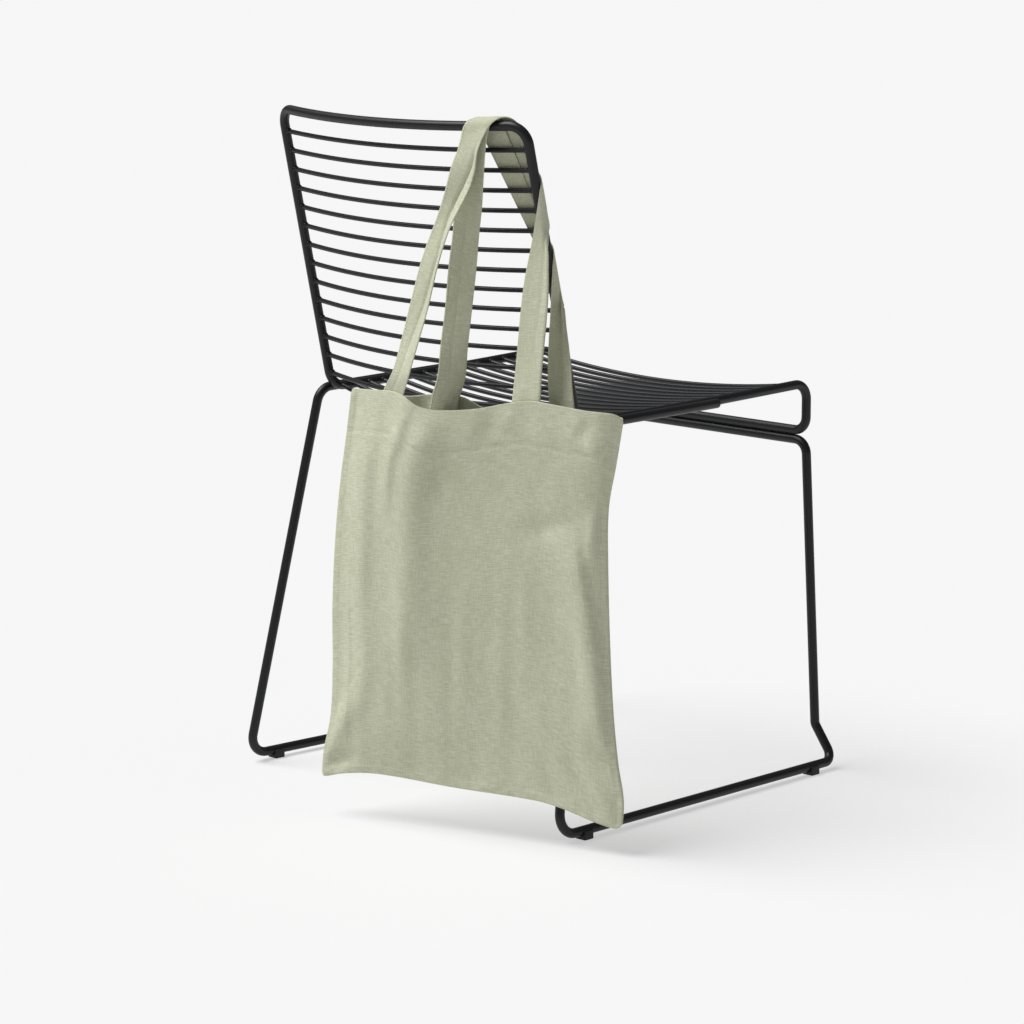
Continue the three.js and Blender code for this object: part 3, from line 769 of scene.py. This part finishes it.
# climb: x, y and z of the middle, the plan angle across the strap, the rise over it, the width.
# rail: where the strap lies over the top rod, and how much wider the rows after it are.
# post: the height where it meets the post, how long it lies along it, how aslant, and the angle
# where it leaves. fall: the share of the way down, the plan angles of the parts left and right of
# the hinge, the width. crease: the share of the whole run, where across it the valley lies, its slope.
frontHandle = {
    "sewn": {"climb": (54, 86), "fall": (225, 260)},
    "climb": [
        (82.6, -151.4, 514, -9, 0, 32), (90.8, -144.3, 551, -9, 0, 32), (99.1, -137, 591, -10, 0, 32),
        (106.6, -130.5, 630, -14, 0, 31.5), (112, -126, 652, -14, 0, 31.5),
        (118, -120.5, 674, -10, 0, 31.5), (125.4, -114.1, 698, -1, 0, 32),
        (130.6, -109.5, 717, 6, 0.05, 32.5), (134.8, -106.1, 737, 2, 0.05, 32.5),
        (139, -103, 757, -5, 0.1, 30),
    ],
    "rail": {"from": 144, "to": 170, "radius": 9.6, "width": 33, "spread": (7, 16)},
    "post": {"middle": 710, "line": 50, "slant": 0.71, "exit": 4},
    "fall": {"hinge": 1, "bow": (1.0, -1.5), "rows": [
        (0.22, -180, -192, 28), (0.4, -171, -184, 33), (0.55, -168, -177, 33.5), (0.7, -167, -173, 33),
        (0.85, -168, -170, 33.5),
    ]},
    "crease": [
        (0, 0.45, 0), (0.1, 0.45, 0.1), (0.2, 0.64, 0.24), (0.26, 0.68, 0.28), (0.32, 0.47, 0.34),
        (0.355, 0.5, 0.36), (0.385, 0.62, 0.34), (0.42, 0.8, 0.25), (0.46, 0.85, 0), (0.66, 0.3, 0),
        (0.72, 0.3, 0.1), (0.8, 0.3, 0.08), (0.9, 0.38, 0.03), (1, 0.4, 0),
    ],
}
backHandle = {
    "sewn": {"climb": (101, 134), "fall": (258, 293)},
    "climb": [
        (103, -96, 504, 22, 0, 33), (108.2, -95.9, 541.5, 21, 0, 32.5), (115.3, -95.9, 583, 20, 0, 32),
        (121.4, -95.9, 627, 23, 0, 32.5), (126.9, -95.8, 664, 18, 0, 32), (130.7, -95.8, 694, 17, 0, 33.5),
        (134.2, -95.8, 733, 16, 0, 33), (138.7, -95.8, 763, 10, 0, 33),
    ],
    "rail": {"from": 143, "to": 151.5, "radius": 7.2, "width": 33, "spread": (0, 0)},
    "post": {"middle": 630, "line": 56, "slant": 0.645, "exit": 34},
    "fall": {"hinge": 2, "bow": (0.5, 0.0), "rows": [
        (0.2, -104, -206, 25), (0.35, -112, -204, 27), (0.5, -122, -197, 29), (0.7, -134, -189, 31),
        (0.85, -152, -185, 32),
    ]},
    "crease": [
        (0, 0.5, 0), (0.15, 0.45, 0.05), (0.33, 0.5, 0.06), (0.44, 0.5, 0), (0.76, 0.52, 0),
        (0.86, 0.52, 0.05), (0.92, 0.52, 0.05), (1, 0.5, 0),
    ],
}


def straightRow(centre, across, width):
    shares = np.arange(handle["columns"] + 1) / handle["columns"] - 0.5
    return np.asarray(centre) + np.outer(shares * width, across)


def freeRow(x, y, z, angle, rise, width):
    turn = math.radians(angle)
    return straightRow([x, y, z], unit([math.cos(turn), math.sin(turn), rise]), width)


def sewnRows(place, side, start, end):
    p = np.linspace(start, end, handle["columns"] + 1)
    inset = 2 * linen["hemFold"] + linen["thickness"] / 2 + handle["layer"] + handle["fold"]
    inset += handle["hemClear"]
    rows = []
    for deep in (1, 0.66, 0.33, 0):
        q = np.full(len(p), deep * handle["sewnDepth"])
        rows.append(place(p, q) - clothNormals(place, p, q, side) * inset)
    return rows


def railRows(plan):
    rows = []
    for turn in np.linspace(0, math.pi, 9):
        x = plan["from"] + (plan["to"] - plan["from"]) * turn / math.pi
        along = unit(topRailPoint(x + 1) - topRailPoint(x - 1))
        rear = unit([along[1], -along[0], 0])
        spoke = rear * math.cos(turn) + np.array([0, 0, math.sin(turn)])
        centre = topRailPoint(x) + spoke * plan["radius"]
        rows.append(straightRow(centre, along, plan["width"]))
    return rows


postRadius = rod["radius"] + handle["fold"] + handle["layer"] / 2 + handle["postClear"]


def postRows(plan):  # lines along the post: the strap winds round it aslant
    top, foot = np.array(topCorner[:3], float), np.array(rearCorner[:3], float)
    upwards = unit(top - foot)
    rows = []
    for turn in np.radians(np.linspace(90, plan["exit"], 8)):
        down = postRadius * (math.pi / 2 - turn) / plan["slant"]
        share = (plan["middle"] - foot[2] - down) / (top[2] - foot[2])
        spoke = np.array([math.cos(turn), math.sin(turn), 0])
        rows.append(straightRow(foot + (top - foot) * share + spoke * postRadius, upwards, plan["line"]))
    return rows


def fallRows(plan, slant, postRow, sewnRow):  # below the post the strap turns, folded along its hinge
    start, end = postRow.mean(axis=0), sewnRow.mean(axis=0)
    rows = []
    for share, left, right, width in plan["rows"]:
        points = [np.zeros(3)]
        for i in range(handle["columns"]):
            turn = math.radians(right if i < plan["hinge"] else left)
            across = unit([math.cos(turn), math.sin(turn), slant * (1 - share) ** 2])
            points.append(points[-1] + across * width / handle["columns"])
        points = np.array(points)
        bow = math.sin(math.pi * share) * np.array([*plan["bow"], 0])
        rows.append(points - points.mean(axis=0) + start + (end - start) * share + bow)
    return rows


def threadThrough(rows, steps):  # smooth threads through the rows, one for each column
    padded = np.concatenate([[2 * rows[0] - rows[1]], rows, [2 * rows[-1] - rows[-2]]])
    gaps = np.sqrt(np.linalg.norm(np.diff(padded, axis=0), axis=-1, keepdims=True)) + 1e-6
    made = []
    for i in range(len(rows) - 1):
        a, b, c, d = padded[i:i + 4]
        g0, g1, g2 = gaps[i:i + 3]
        startSlope = ((b - a) / g0 - (c - a) / (g0 + g1) + (c - b) / g1) * g1
        endSlope = ((c - b) / g1 - (d - b) / (g1 + g2) + (d - c) / g2) * g1
        for t in np.arange(steps) / steps:
            made.append(
                b + startSlope * t + (3 * (c - b) - 2 * startSlope - endSlope) * t ** 2
                + (2 * (b - c) + startSlope + endSlope) * t ** 3
            )
    made.append(rows[-1])
    return np.array(made)


def evenThreads(threads):  # every thread gets the same number of equal steps along its length
    count = int(np.linalg.norm(np.diff(threads, axis=0), axis=-1).sum(axis=0).mean() / handle["step"])
    even = []
    for thread in np.swapaxes(threads, 0, 1):
        run = runAlong(thread)
        places = np.linspace(0, run[-1], count + 1)
        even.append(np.stack([np.interp(places, run, thread[:, axis]) for axis in range(3)], axis=-1))
    return np.stack(even, axis=1)


def handleSurface(plan, place, side):
    climbSewn = sewnRows(place, side, *plan["sewn"]["climb"])
    fallSewn = sewnRows(place, side, *plan["sewn"]["fall"][::-1])[::-1]
    rail, post = railRows(plan["rail"]), postRows(plan["post"])
    cross = []
    for share, spread in zip((0.3, 0.65), plan["rail"]["spread"]):
        row = rail[-1] + (post[0] - rail[-1]) * share
        width = np.linalg.norm(row[-1] - row[0])
        cross.append(row[-1] + (row - row[-1]) * (width + spread) / width)
    rows = np.array([
        *climbSewn, *[freeRow(*row) for row in plan["climb"]], *rail, *cross, *post,
        *fallRows(plan["fall"], plan["post"]["slant"], post[-1], fallSewn[0]), *fallSewn,
    ])
    shares = np.linspace(0, handle["columns"], handle["across"] + 1)
    i = np.minimum(shares.astype(int), handle["columns"] - 1)
    part = (shares - i)[None, :, None]
    return evenThreads(threadThrough(rows[:, i] * (1 - part) + rows[:, i + 1] * part, 10))


def gridNormals(points):
    across = np.gradient(points, axis=1)
    along = np.gradient(points, axis=0)
    return unit(np.cross(across, along))


creaseStart = 0.05  # the slope from which the strap hangs free and uneven


def creased(middle, crease):  # a long soft valley, and a little unevenness
    normals = gridNormals(middle)
    run = np.linspace(0, 1, middle.shape[0])[:, None]
    across = np.linspace(0, 1, middle.shape[1])[None, :]
    width = np.linalg.norm(middle[:, -1] - middle[:, 0], axis=-1)[:, None]
    at, slope = column(crease, 1)(run), column(crease, 2)(run)
    off = (across - at) * width
    valley = handle["valley"]
    line = valley["line"] * np.exp(-(off / valley["lineWidth"]) ** 2)
    lift = slope * (np.hypot(off, valley["round"]) - valley["round"] - valley["flank"] * width - line)
    size, acrossReach, runReach, seed = handle["noise"]
    noise = softNoise(across * width, run * handle["run"], acrossReach, runReach, seed)
    lift += ease(slope / creaseStart) * size * noise
    return middle + normals * lift[..., None]


def buildHandle(name, node, plan, place, side, material):
    middle = creased(handleSurface(plan, place, side), plan["crease"])
    normals = gridNormals(middle)
    fold = handle["fold"]
    outer = middle + normals * fold
    inner = middle - normals * fold
    edgeAcross = unit(middle[:, -1] - middle[:, -2])
    bend = np.stack(foldBack(middle[:, -1], normals[:, -1], edgeAcross, fold), axis=1)
    points = np.concatenate([outer, bend, inner[:, ::-1]], axis=1)
    runDown = runAlong(middle[:, handle["measured"]])
    half, edge = handle["flatWidth"] / 2, handle["foldEdge"]
    runAcross = np.concatenate([
        np.linspace(0, half - edge, middle.shape[1]), half + (foldTurns / math.pi - 0.5) * (2 * edge),
        np.linspace(half + edge, 2 * half, middle.shape[1]),
    ])
    cut = np.stack(np.meshgrid(runDown, runAcross, indexing="ij")[::-1], axis=-1)
    piece = addObject(name, clothMesh(name, points, cut, False))
    thicken(piece, handle["layer"])
    piece.data.materials.append(material)
    finishPiece(piece, "linen", node)
    return piece, middle, normals, runDown[-1]


# Stitches

stitch = {"length": 2.5, "pitch": 3.6, "width": 0.55, "height": 0.4, "unevenness": 0.15}


def makeStitchTree():
    tree, inputs = newShapeTree("stitches", {
        "Pitch": "Float", "Size": "Vector", "Unevenness": "Float", "Seed": "Int", "Material": "Material",
    })
    path = addNode(tree, "GeometryNodeMeshToCurve", {"Mesh": inputs["Geometry"]})
    spaced = addNode(tree, "GeometryNodeResampleCurve", {
        "Curve": path.outputs[0], "Length": inputs["Pitch"],
    }, mode="LENGTH")
    tangent = addNode(tree, "GeometryNodeInputTangent")
    outwards = addNode(tree, "GeometryNodeInputNamedAttribute", {
        "Name": "outwards",
    }, data_type="FLOAT_VECTOR")
    turned = addNode(tree, "FunctionNodeAxesToRotation", {
        "Primary Axis": outwards.outputs[0], "Secondary Axis": tangent.outputs[0],
    }, primary_axis="Z", secondary_axis="X")
    spread = addNode(tree, "ShaderNodeMath", {0: 1.0, 1: inputs["Unevenness"]}, operation="ADD")
    least = addNode(tree, "ShaderNodeMath", {0: 1.0, 1: inputs["Unevenness"]}, operation="SUBTRACT")
    uneven = addNode(tree, "FunctionNodeRandomValue", {
        2: least.outputs[0], 3: spread.outputs[0], "Seed": inputs["Seed"],
    }, data_type="FLOAT")
    thread = addNode(tree, "GeometryNodeMeshUVSphere", {"Segments": 8, "Rings": 5, "Radius": 0.5})
    size = addNode(tree, "ShaderNodeVectorMath", {
        0: inputs["Size"], "Scale": uneven.outputs[1],
    }, operation="SCALE")
    placed = addNode(tree, "GeometryNodeInstanceOnPoints", {
        "Points": spaced.outputs[0], "Instance": thread.outputs["Mesh"],
        "Rotation": turned.outputs[0], "Scale": size.outputs[0],
    })
    return finishShapeTree(tree, placed.outputs[0], inputs["Material"])


def panelStitchLine(place, side, across, down, lift):
    p, q = np.broadcast_arrays(np.asarray(across, float), np.asarray(down, float))
    normals = clothNormals(place, p, q, side)
    return place(p, q) + normals * lift, normals


def buildStitches(name, lines, tree, material, seed):
    places, outwards = zip(*lines)
    piece = addLines(name, places, outwards=outwards)
    runShapeTree(piece, tree, {
        "Pitch": stitch["pitch"] * mm,
        "Size": [stitch[side] * mm for side in ("length", "width", "height")],
        "Unevenness": stitch["unevenness"], "Seed": seed, "Material": material,
    })
    piece.data.shade_smooth()
    return finishPiece(piece, "linen")


# Finishes

def newMaterial(name):
    material = bpy.data.materials.new(name)
    material.use_nodes = True
    return material, material.node_tree, material.node_tree.nodes["Principled BSDF"]


# Fields of the yarns: the reach across and down of a thick or thin stretch, its offset, its detail.
# The real threads are about 0.7 mm apart and are drawn 1.3 mm apart, so that they show.
linenLook = {
    "deep": "#b5b79d", "middle": "#bec0a7", "light": "#c9cbb5",
    "fields": {
        "weft": (13.0, 1.15, 3.0, 1.0), "warp": (1.15, 13.0, 11.0, 1.0),
        "weftSlub": (7.0, 1.2, 31.0, 0.0), "warpSlub": (1.2, 6.0, 47.0, 0.0),
        "cloud": (40.0, 55.0, 23.0, 3.0),
    },
    "shares": {"weft": 0.5, "warp": 0.34, "cloud": 0.16}, "toneFrom": 0.36, "toneTo": 0.64,
    "slubFrom": 0.66, "slubTo": 0.8, "slubLift": 0.22,
    "thread": 1.3, "weave": 0.04, "roughness": 0.9, "sheen": 0.12, "bump": 0.6, "bumpDepth": 0.25,
}


def makeLinen():
    # Washed plain-weave linen: matt, its thick and thin yarns read as short fine streaks
    look = linenLook
    material, tree, shader = newMaterial("washedLinen")
    plan = addNode(tree, "ShaderNodeUVMap", uv_map="clothPlan")
    inMillimetres = addNode(tree, "ShaderNodeVectorMath", {
        0: plan.outputs[0], "Scale": 1 / mm,
    }, operation="SCALE").outputs[0]
    fields = {}
    for name, (across, down, offset, detail) in look["fields"].items():
        placed = addNode(tree, "ShaderNodeMapping", {
            "Vector": inMillimetres, "Location": (offset, offset * 0.7, 0),
            "Scale": (1 / across, 1 / down, 1),
        })
        fields[name] = addNode(tree, "ShaderNodeTexNoise", {
            "Vector": placed.outputs[0], "Scale": 1.0, "Detail": detail, "Roughness": 0.6,
        }, noise_dimensions="2D").outputs["Fac"]

    yarns = 0.0
    for name, share in look["shares"].items():
        yarns = addNode(tree, "ShaderNodeMath", {
            0: fields[name], 1: share, 2: yarns,
        }, operation="MULTIPLY_ADD").outputs[0]
    tone = addNode(tree, "ShaderNodeMapRange", {
        "Value": yarns, "From Min": look["toneFrom"], "From Max": look["toneTo"],
    }).outputs[0]
    for name in ("weftSlub", "warpSlub"):
        slub = addNode(tree, "ShaderNodeMapRange", {
            "Value": fields[name], "From Min": look["slubFrom"], "From Max": look["slubTo"],
            "To Max": look["slubLift"],
        }).outputs[0]
        tone = addNode(tree, "ShaderNodeMath", {0: tone, 1: slub}, operation="ADD").outputs[0]
    ramp = addNode(tree, "ShaderNodeValToRGB", {0: tone})
    ramp.color_ramp.elements[0].color = colourFromHex(look["deep"])
    ramp.color_ramp.elements[1].color = colourFromHex(look["light"])
    ramp.color_ramp.elements.new(0.5).color = colourFromHex(look["middle"])

    split = addNode(tree, "ShaderNodeSeparateXYZ", {0: inMillimetres})
    waves = []
    for axis in (0, 1):
        phase = addNode(tree, "ShaderNodeMath", {
            0: split.outputs[axis], 1: math.pi / look["thread"],
        }, operation="MULTIPLY")
        waves.append(addNode(tree, "ShaderNodeMath", {0: phase.outputs[0]}, operation="SINE").outputs[0])
    weave = addNode(tree, "ShaderNodeMath", {0: waves[0], 1: waves[1]}, operation="MULTIPLY")
    height = addNode(tree, "ShaderNodeMath", {
        0: weave.outputs[0], 1: look["weave"], 2: tone,
    }, operation="MULTIPLY_ADD")
    bump = addNode(tree, "ShaderNodeBump", {
        "Strength": look["bump"], "Distance": look["bumpDepth"] * mm, "Height": height.outputs[0],
    })
    feed(shader, {
        "Base Color": ramp.outputs[0], "Normal": bump.outputs[0], "Roughness": look["roughness"],
        "Sheen Weight": look["sheen"], "Sheen Roughness": 0.5, "Specular IOR Level": 0.2,
    })
    return material


threadLook = {"dark": "#8b8e77", "light": "#a0a38b", "twist": 0.4, "roughness": 0.75}


def makeThread():
    # Matt spun polyester sewing thread, a shade darker than the cloth
    look = threadLook
    material, tree, shader = newMaterial("sewingThread")
    place = addNode(tree, "ShaderNodeTexCoord")
    twist = addNode(tree, "ShaderNodeTexNoise", {
        "Vector": place.outputs["Object"], "Scale": 1 / (look["twist"] * mm),
    })
    ramp = addNode(tree, "ShaderNodeValToRGB", {0: twist.outputs["Fac"]})
    ramp.color_ramp.elements[0].color = colourFromHex(look["dark"])
    ramp.color_ramp.elements[1].color = colourFromHex(look["light"])
    feed(shader, {"Base Color": ramp.outputs[0], "Roughness": look["roughness"]})
    return material


hardLooks = {
    # Satin powder coat on steel: a soft broad gloss over a faint orange-peel grain
    "blackPowderCoat": {
        "dark": "#0e0f12", "light": "#15161a", "grain": 0.9, "gloss": (0.34, 0.5),
        "bump": 0.12, "bumpDepth": 0.1, "specular": 0.34,
    },
    # Moulded polyamide: a dull even grain from the mould
    "mouldedPolyamide": {
        "dark": "#18191b", "light": "#222326", "grain": 0.5, "gloss": (0.56, 0.68),
        "bump": 0.2, "bumpDepth": 0.1, "specular": 0.4,
    },
}


def makeHardFinish(name):
    look = hardLooks[name]
    material, tree, shader = newMaterial(name)
    place = addNode(tree, "ShaderNodeTexCoord")
    grain = addNode(tree, "ShaderNodeTexNoise", {
        "Vector": place.outputs["Object"], "Scale": 1 / (look["grain"] * mm), "Detail": 2.0,
    }).outputs["Fac"]
    ramp = addNode(tree, "ShaderNodeValToRGB", {0: grain})
    ramp.color_ramp.elements[0].color = colourFromHex(look["dark"])
    ramp.color_ramp.elements[1].color = colourFromHex(look["light"])
    least, most = look["gloss"]
    gloss = addNode(tree, "ShaderNodeMapRange", {"Value": grain, "To Min": least, "To Max": most})
    bump = addNode(tree, "ShaderNodeBump", {
        "Strength": look["bump"], "Distance": look["bumpDepth"] * mm, "Height": grain,
    })
    feed(shader, {
        "Base Color": ramp.outputs[0], "Roughness": gloss.outputs[0], "Normal": bump.outputs[0],
        "Specular IOR Level": look["specular"],
    })
    return material


# Floor and light

studio = {
    "floorHalf": 60.0, "floorColour": "#a0a0a0", "floorGlow": 0.5, "sky": 0.18,
    "key": 3.75, "keyAzimuth": -48, "keyHeight": 60, "keySoftness": 40,
}


def makeStudio():
    half = studio["floorHalf"]
    mesh = bpy.data.meshes.new("floor")
    corners = [(-half, -half, 0), (half, -half, 0), (half, half, 0), (-half, half, 0)]
    mesh.from_pydata(corners, [], [(0, 1, 2, 3)])
    floor = addObject("floor", mesh)
    # Matt pale floor paint that glows a little, so that it stays as bright as the backdrop
    material, _, shader = newMaterial("palePaint")
    feed(shader, {
        "Base Color": colourFromHex(studio["floorColour"]), "Roughness": 0.9, "Specular IOR Level": 0.0,
        "Emission Color": (1, 1, 1, 1), "Emission Strength": studio["floorGlow"],
    })
    mesh.materials.append(material)

    world = bpy.data.worlds.new("studio")
    world.use_nodes = True
    feed(world.node_tree.nodes["Background"], {"Color": (1, 1, 1, 1), "Strength": studio["sky"]})
    bpy.context.scene.world = world

    lamp = bpy.data.lights.new("keyLight", "SUN")
    lamp.energy = studio["key"]
    lamp.angle = math.radians(studio["keySoftness"])
    key = bpy.data.objects.new("keyLight", lamp)
    key.rotation_euler = (math.radians(90 - studio["keyHeight"]), 0, math.radians(studio["keyAzimuth"]))
    bpy.context.scene.collection.objects.link(key)
    bpy.context.scene.view_settings.view_transform = "Standard"


makeCamera()
makeStudio()
buildChair(makeHardFinish("blackPowderCoat"))
buildGlides(makeHardFinish("mouldedPolyamide"))

washedLinen = makeLinen()
sewingThread = makeThread()
frontPlace = makePanel(1, frontMouth, frontCrown, frontFolds, frontDents, 21)
backPlace = makePanel(-1, backMouth, backCrown, backFolds, backDents, 51)
frontCloth = buildPanel("front_cloth", "front_panel", 1, frontPlace, washedLinen)
backCloth = buildPanel("back_cloth", "back_panel", -1, backPlace, washedLinen)
print("panels built")

frontStrap, frontMiddle, frontNormals, frontRun = buildHandle(
    "front_strap", "front_handle", frontHandle, frontPlace, 1, washedLinen)
backStrap, backMiddle, backNormals, backRun = buildHandle(
    "back_strap", "back_handle", backHandle, backPlace, -1, washedLinen)
print("handles built", round(frontRun), round(backRun))

stitchTree = makeStitchTree()
hemAcross = np.arange(6, bag["width"] - 5, 2.0)
hemLines = [
    panelStitchLine(place, side, hemAcross, linen["hemDepth"] - hemStitch["inset"], linen["thickness"] / 2)
    for place, side in ((frontPlace, 1), (backPlace, -1))
]
hemStitches = buildStitches("hem_stitches", hemLines, stitchTree, sewingThread, 3)
strapLines = []
for middle, normals in ((frontMiddle, frontNormals), (backMiddle, backNormals)):
    for sign in (1, -1):
        lift = sign * (handle["fold"] + handle["layer"] / 2)
        strapLines.append((middle[:, 1] + normals[:, 1] * lift, normals[:, 1] * sign))
strapStitches = buildStitches("strap_stitches", strapLines, stitchTree, sewingThread, 5)
print("stitches sewn")
